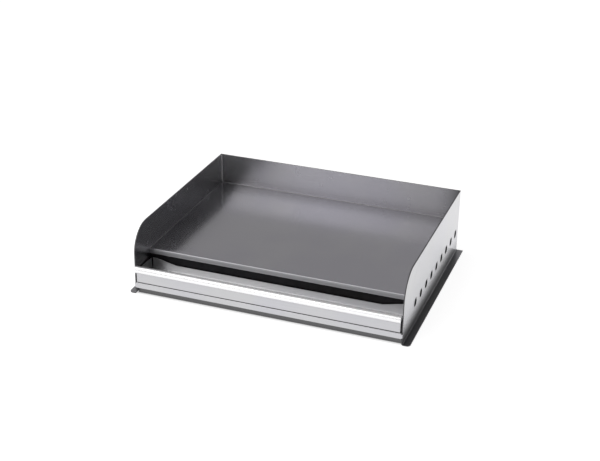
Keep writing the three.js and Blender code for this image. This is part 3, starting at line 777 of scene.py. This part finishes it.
def threaded_stud(low, high):
    """A bar whose radius falls and rises as a saw-toothed wave of the height less the turn, so its
    crest winds up as a screw thread; it narrows to a point that closes each end."""
    centre = (low + high) / 2
    radius = (high.x - low.x) / 2
    count = int((high.z - low.z) / STUD_THREAD_PITCH * STUD_PITCH_STEPS)
    height = np.linspace(low.z, high.z, count + 1)[:, None]
    turn = np.linspace(0, 2 * math.pi, STUD_SIDES + 1)[None, :]
    wave = abs(2 * (((height / STUD_THREAD_PITCH - turn / (2 * math.pi)) % 1.0) - 0.5))
    reach = radius - STUD_THREAD_DEPTH * wave
    reach = np.minimum(reach, radius - STUD_POINT + (height - low.z))
    rows = np.stack([centre.x + reach * np.cos(turn), centre.y + reach * np.sin(turn),
                     np.broadcast_to(height, reach.shape)], axis=2)
    ends = [np.broadcast_to(np.array([centre.x, centre.y, z]), (1, STUD_SIDES + 1, 3))
            for z in (low.z, high.z)]
    return np.concatenate([ends[0], rows, ends[1]])


def ring_piece(low, high, hole, outline, sides=48):
    """A ring: its section runs out from the hole along the bottom, up the outside and back along
    the top, with the outside at the distance that the outline gives for each turn and height."""
    centre = (low + high) / 2
    turn = np.linspace(0, 2 * math.pi, sides + 1)[None, :]
    rise = (low.z + (high.z - low.z) * RING_HEIGHTS)[:, None]
    reach = np.where(RING_INSIDE[:, None] == 1, hole,
                     outline(turn, np.minimum(rise - low.z, high.z - rise)))
    return np.stack([centre.x + reach * np.cos(turn), centre.y + reach * np.sin(turn),
                     np.broadcast_to(rise, reach.shape)], axis=2)


def hexagon(flats, corner_turn):
    """The outside of a nut: the lesser of a hexagon and a cone that cuts its corners."""
    def reach(turn, from_face):
        off_flat = (turn - corner_turn) % (math.pi / 3) - math.pi / 6
        return np.minimum(flats / np.cos(off_flat),
                          flats * NUT_CHAMFER_START + NUT_CHAMFER_SLOPE * from_face)
    return reach


def disc(radius):
    """The outside of a washer: a circle with its edges rounded off."""
    def reach(turn, from_face):
        return (radius - WASHER_ROUND + np.minimum(from_face * WASHER_ROUND_SLOPE, WASHER_ROUND)
                + 0 * turn)
    return reach


for label in ("left_front", "left_rear", "right_front", "right_rear", "back_left", "back_right"):
    keep_node(f"plate_bracket_{label}", plated_finish, BRACKET_DEBURR)
    stud_low, stud_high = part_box(f"plate_stud_{label}")
    make_piece(f"threaded_stud_{label}", [threaded_stud(stud_low, stud_high)], "body",
               plated_finish, (f"plate_stud_{label}",))
    nut_low, nut_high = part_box(f"plate_nut_{label}")
    nut_wide, nut_deep = nut_high.x - nut_low.x, nut_high.y - nut_low.y
    corner_turn = 0.0 if nut_wide > nut_deep else math.pi / 2
    nut_outline = hexagon(min(nut_wide, nut_deep) / 2, corner_turn)
    hole = (stud_high.x - stud_low.x) / 2 + STUD_CLEARANCE
    make_piece(f"hex_nut_{label}", [ring_piece(nut_low, nut_high, hole, nut_outline)],
               "body", plated_finish, (f"plate_nut_{label}",))
    washer_low, washer_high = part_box(f"plate_washer_{label}")
    washer_outline = disc((washer_high.x - washer_low.x) / 2)
    make_piece(f"flat_washer_{label}", [ring_piece(washer_low, washer_high, hole, washer_outline)],
               "body", plated_finish, (f"plate_washer_{label}",))


# Front rail and drawer runners
# The rail is a folded section across the front, its face lapped over the panels' front edges. The
# drawer rides on its top flange and, behind it, on a small angle inside each side panel.
RAIL_SHEET = 2 * mm
RAIL_BEND = 1.5 * mm
RAIL_BOTTOM = 15.5 * mm
RAIL_RETURN = 11 * mm
RAIL_LEDGE = 12 * mm
RAIL_TAB_STEP = 0.25 * mm
RAIL_DEBURR = 0.25 * mm
WELD_GAP = 0.3 * mm
SMOOTHER_BRUSH = 0.29
PAINTED_SHADE_DARK = (0.15, 0.15, 0.152)
PAINTED_SHADE_ROUGHNESS = 0.45
RAIL_FOOT_SHADE = (RAIL_BOTTOM - 1 * mm, RAIL_BOTTOM + 1 * mm)
rail_low, rail_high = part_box("front_rail")
RAIL_TOP_SHADE = (rail_high.z - 0.3 * mm, rail_high.z - 1.0 * mm)
rail_face = rail_low.y + RAIL_SHEET / 2
rail_line = bent_line([(rail_low.y + RAIL_LEDGE, rail_high.z - RAIL_SHEET / 2),
                       (rail_face, rail_high.z - RAIL_SHEET / 2),
                       (rail_face, RAIL_BOTTOM + RAIL_SHEET / 2),
                       (rail_face + RAIL_RETURN, RAIL_BOTTOM + RAIL_SHEET / 2),
                       (rail_face + RAIL_RETURN, 0.0)], RAIL_BEND)
tab_low = RAIL_BOTTOM + RAIL_SHEET / 2 + RAIL_BEND + RAIL_TAB_STEP
tab_high = rail_high.z - RAIL_SHEET / 2 - RAIL_BEND - RAIL_TAB_STEP
flat_start = int(np.argmax(np.isclose(rail_line[:, 0], rail_face) & (rail_line[:, 1] < tab_low)))


def with_rows(line, heights, where):
    """Adds rows to a line at the given heights, on its upright stretch that starts at a row."""
    extra = np.column_stack([np.full(len(heights), line[where, 0]), heights])
    return np.concatenate([line[:where], extra, line[where:]])


rail_line = with_rows(rail_line, [tab_high, tab_low], flat_start)
between_panels = inner_half - WELD_GAP
on_tab = (np.isclose(rail_line[:, 0], rail_face) & (rail_line[:, 1] > tab_low - RAIL_TAB_STEP / 2)
          & (rail_line[:, 1] < tab_high + RAIL_TAB_STEP / 2))
rail_half = np.where(on_tab, rail_high.x, between_panels)


def across_body(line, half_widths, columns=24):
    """Carries a line (depth, height) across the body, each row to its own half width, with the
    places closer together towards the ends."""
    share = np.sin(np.linspace(-1, 1, columns + 1) * math.pi / 2)
    half_widths = np.broadcast_to(half_widths, len(line))
    wide = half_widths[:, None] * share[None, :]
    return np.stack([wide, *np.broadcast_arrays(line[:, :1], line[:, 1:], wide)[:2]], axis=2)


def painted_shade_by_height(material, dark, clear, colour, roughness):
    """Paints shade into a brushed finish by height: a dull dark colour at and beyond the height `dark`,
    fading to the finish itself at and beyond the height `clear`."""
    tree, shader, place = shader_parts(material)
    rise = add_node(tree, "ShaderNodeSeparateXYZ", Vector=place).outputs["Z"]
    unshaded = ramp(tree, rise, dark, clear, 0.0, 1.0, True)
    put(tree, shader.inputs["Base Color"], mixed(tree, unshaded, colour, source(shader, "Base Color")))
    put(tree, shader.inputs["Roughness"],
        ramp(tree, unshaded, 0.0, 1.0, roughness, source(shader, "Roughness")))


rail_finish = brushed("brushed_rail", STAINLESS_BRIGHT, (LONG, FINE, FINE), SMOOTHER_BRUSH,
                      COOL_TINT, run=SIDE_TO_SIDE, spread=SPREAD)
# Painted shade: the rail darkens in its recessed foot, and along its top where the drawer sits.
painted_shade_by_height(rail_finish, *RAIL_FOOT_SHADE, PAINTED_SHADE_DARK, PAINTED_SHADE_ROUGHNESS)
painted_shade_by_height(rail_finish, *RAIL_TOP_SHADE, PAINTED_SHADE_DARK, PAINTED_SHADE_ROUGHNESS)
rail = make_piece("front_rail_fold", [across_body(rail_line, rail_half)], "body",
                  rail_finish, ("front_rail",))
give_sheet(rail, RAIL_SHEET, RAIL_DEBURR)
for node in ("drawer_runner_left", "drawer_runner_right"):
    keep_node(node, panel_finish, THIN_SHEET_DEBURR)


# Drawer pan
# One thin sheet folded up on four sides. The back wall drops to a low middle so that fat from the
# plate runs in over it, and the folds at its rear corners are left open above a short weld.
PAN_STEEL = (0.72, 0.72, 0.725)
PAN_TINT = (0.96, 0.96, 0.97)
PAN_ROUGHNESS = 0.33
PAN_SPREAD = 0.6
PAN_SHEET = 1.2 * mm
PAN_BEND = 1.2 * mm
PAN_BEND_STEPS = 5
PAN_DEBURR = 0.15 * mm
PAN_END_SHORT = 2.0 * mm
PAN_BACK_LOW = 11.0 * mm
PAN_NOTCH_INSET = 11 * mm
PAN_NOTCH_SLOPE = 48 * mm
PAN_FRONT_TOP = 48.0 * mm
PAN_SLOPE_END = 9.35 * mm
PAN_COLUMNS = 12
PAN_ROWS = 5
PAN_WELD_RADIUS = 1.25 * mm
PAN_WELD_RISE = (0.8 * mm, 6 * mm)
pan_low, pan_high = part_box("drawer_pan")
half_sheet = PAN_SHEET / 2
pan_x, pan_floor = pan_high.x - half_sheet, pan_low.z + half_sheet
flap_half = pan_high.x - PAN_SHEET - PAN_END_SHORT
pan_front, pan_back = pan_low.y + half_sheet, pan_high.y - half_sheet
notch_edge = pan_high.x - PAN_SHEET - PAN_NOTCH_INSET
flap_places = np.unique(np.round(np.concatenate([
    np.linspace(-flap_half, flap_half, PAN_COLUMNS + 1),
    [s * (notch_edge - o) for s in (-1, 1) for o in (0, PAN_NOTCH_SLOPE)]]), SAME_PLACE_DECIMALS))
corner_line = bent_line([(-pan_x, pan_high.z), (-pan_x, pan_floor), (0, pan_floor)], PAN_BEND)[:-1]
floor_line = np.column_stack([flap_places, np.full(len(flap_places), pan_floor)])
corner_line = np.concatenate([corner_line, floor_line, corner_line[::-1] * (-1, 1)])
deep = np.concatenate([[pan_front + PAN_BEND], np.linspace(pan_low.y + PAN_SLOPE_END,
                                                           pan_back - PAN_BEND, PAN_ROWS + 1)])
wall_top = np.interp(deep, [pan_low.y + PAN_SHEET, pan_low.y + PAN_SLOPE_END],
                     [PAN_FRONT_TOP, pan_high.z])
channel = np.stack(np.broadcast_arrays(corner_line[:, None, 0], deep[None, :],
                                       corner_line[:, None, 1]), axis=2).copy()
is_top = np.isclose(corner_line[:, 1], pan_high.z)
channel[is_top, :, 2] = wall_top[None, :]


def pan_flap(start, wall, tops):
    """A wall folded up from the pan's floor: a quarter-circle bend, then up to its top edge."""
    swing = np.linspace(0, math.pi / 2, PAN_BEND_STEPS + 1)
    deep_line = start + (wall - start) * np.sin(swing)
    rise_line = pan_floor + abs(wall - start) * (1 - np.cos(swing))
    depth = np.append(deep_line, [wall, wall])[:, None] + 0 * flap_places[None, :]
    middle = (rise_line[-1] + tops) / 2
    height = np.vstack([np.repeat(rise_line[:, None], len(flap_places), axis=1), middle, tops])
    wide = np.broadcast_to(flap_places[None, :], depth.shape)
    return np.stack([wide, depth, height], axis=2)


back_top = np.interp(abs(flap_places), [notch_edge - PAN_NOTCH_SLOPE, notch_edge],
                     [pan_high.z - PAN_BACK_LOW, pan_high.z])
pan_patches = [channel, pan_flap(deep[-1], pan_back, back_top),
               pan_flap(deep[0], pan_front, np.full(len(flap_places), PAN_FRONT_TOP))]
pan_finish = brushed("rolled_pan_sheet", PAN_STEEL, (LONG, FINE, FINE), PAN_ROUGHNESS, PAN_TINT,
                     run=SIDE_TO_SIDE, spread=PAN_SPREAD)
pan = make_piece("drawer_pan_fold", pan_patches, "drawer", pan_finish,
                 ("drawer_pan",))
give_sheet(pan, PAN_SHEET, PAN_DEBURR)
weld_x = flap_half + PAN_END_SHORT / 2
weld_foot, weld_top = (pan_low.z + rise for rise in PAN_WELD_RISE)
pan_welds = [weld_run((x, pan_back, weld_foot), (x, pan_back, weld_top), PAN_WELD_RADIUS)
             for x in (-weld_x, weld_x)]
make_piece("pan_corner_weld", pan_welds, "drawer", weld_finish)


# Drawer front
# A sheet between the side panels that turns forwards and rolls over at the top into the drawer's
# pull. The face is brushed and the roll is buffed bright.
FACE_SHEET = 1.5 * mm
FACE_ROWS = 4
FACE_DEBURR = 0.2 * mm
LIP_RADIUS = 8.5 * mm
LIP_FILLET = 3 * mm
LIP_FILLET_STEPS = 6
LIP_CURL = math.radians(275)
LIP_STEPS = 44
LIP_COLUMNS = 40
BUFFED = (0.93, 0.93, 0.935)
BUFFED_ROUGHNESS = 0.26
lip_low, lip_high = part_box("drawer_front")
FACE_FOOT_SHADE = (lip_low.z + 0.3 * mm, lip_low.z + 1.2 * mm)
lip_height = lip_high.z - LIP_RADIUS
lip_depth = lip_low.y + LIP_RADIUS
roll = LIP_RADIUS - FACE_SHEET / 2
fillet_height = lip_height - math.sqrt((roll + LIP_FILLET) ** 2 - LIP_FILLET ** 2)
lean = math.atan2(lip_height - fillet_height, LIP_FILLET)
fillet_turn = np.linspace(0, lean, LIP_FILLET_STEPS + 1)
roll_turn = lean + math.pi - np.linspace(0, LIP_CURL, LIP_STEPS + 1)[1:]
face_heights = np.linspace(lip_low.z, fillet_height, FACE_ROWS + 1)[:-1]
lip_line = np.concatenate([
    np.column_stack([np.full(FACE_ROWS, lip_depth), face_heights]),
    np.column_stack([lip_depth - LIP_FILLET + LIP_FILLET * np.cos(fillet_turn),
                     fillet_height + LIP_FILLET * np.sin(fillet_turn)]),
    np.column_stack([lip_depth + roll * np.cos(roll_turn), lip_height + roll * np.sin(roll_turn)])])
lip_half = np.concatenate([np.full(FACE_ROWS, pan_high.x),
                           np.linspace(pan_high.x, lip_high.x, LIP_FILLET_STEPS + 1),
                           np.full(LIP_STEPS, lip_high.x)])


def buffed_lip(name):
    """The brushed finish of the face, which turns into a smoother and brighter buffed finish with
    height, round the front of the roll."""
    material = brushed(name, STAINLESS_BRIGHT, (LONG, FINE, FINE), SMOOTHER_BRUSH, COOL_TINT,
                       run=SIDE_TO_SIDE, spread=SPREAD)
    tree, shader, place = shader_parts(material)
    rise = add_node(tree, "ShaderNodeSeparateXYZ", Vector=place).outputs["Z"]
    buffed = ramp(tree, rise, lip_height - LIP_RADIUS, lip_height, 0.0, 1.0, True)
    put(tree, shader.inputs["Base Color"], mixed(tree, buffed, source(shader, "Base Color"), BUFFED))
    put(tree, shader.inputs["Roughness"],
        ramp(tree, buffed, 0.0, 1.0, source(shader, "Roughness"), BUFFED_ROUGHNESS))
    return material


lip_finish = buffed_lip("buffed_lip")
# Painted shade: the face darkens along its bottom edge, in the gap above the rail.
painted_shade_by_height(lip_finish, *FACE_FOOT_SHADE, PAINTED_SHADE_DARK, PAINTED_SHADE_ROUGHNESS)
drawer_front = make_piece("drawer_front_roll", [across_body(lip_line, lip_half, LIP_COLUMNS)], "drawer",
                          lip_finish, ("drawer_front",))
give_sheet(drawer_front, FACE_SHEET, FACE_DEBURR)
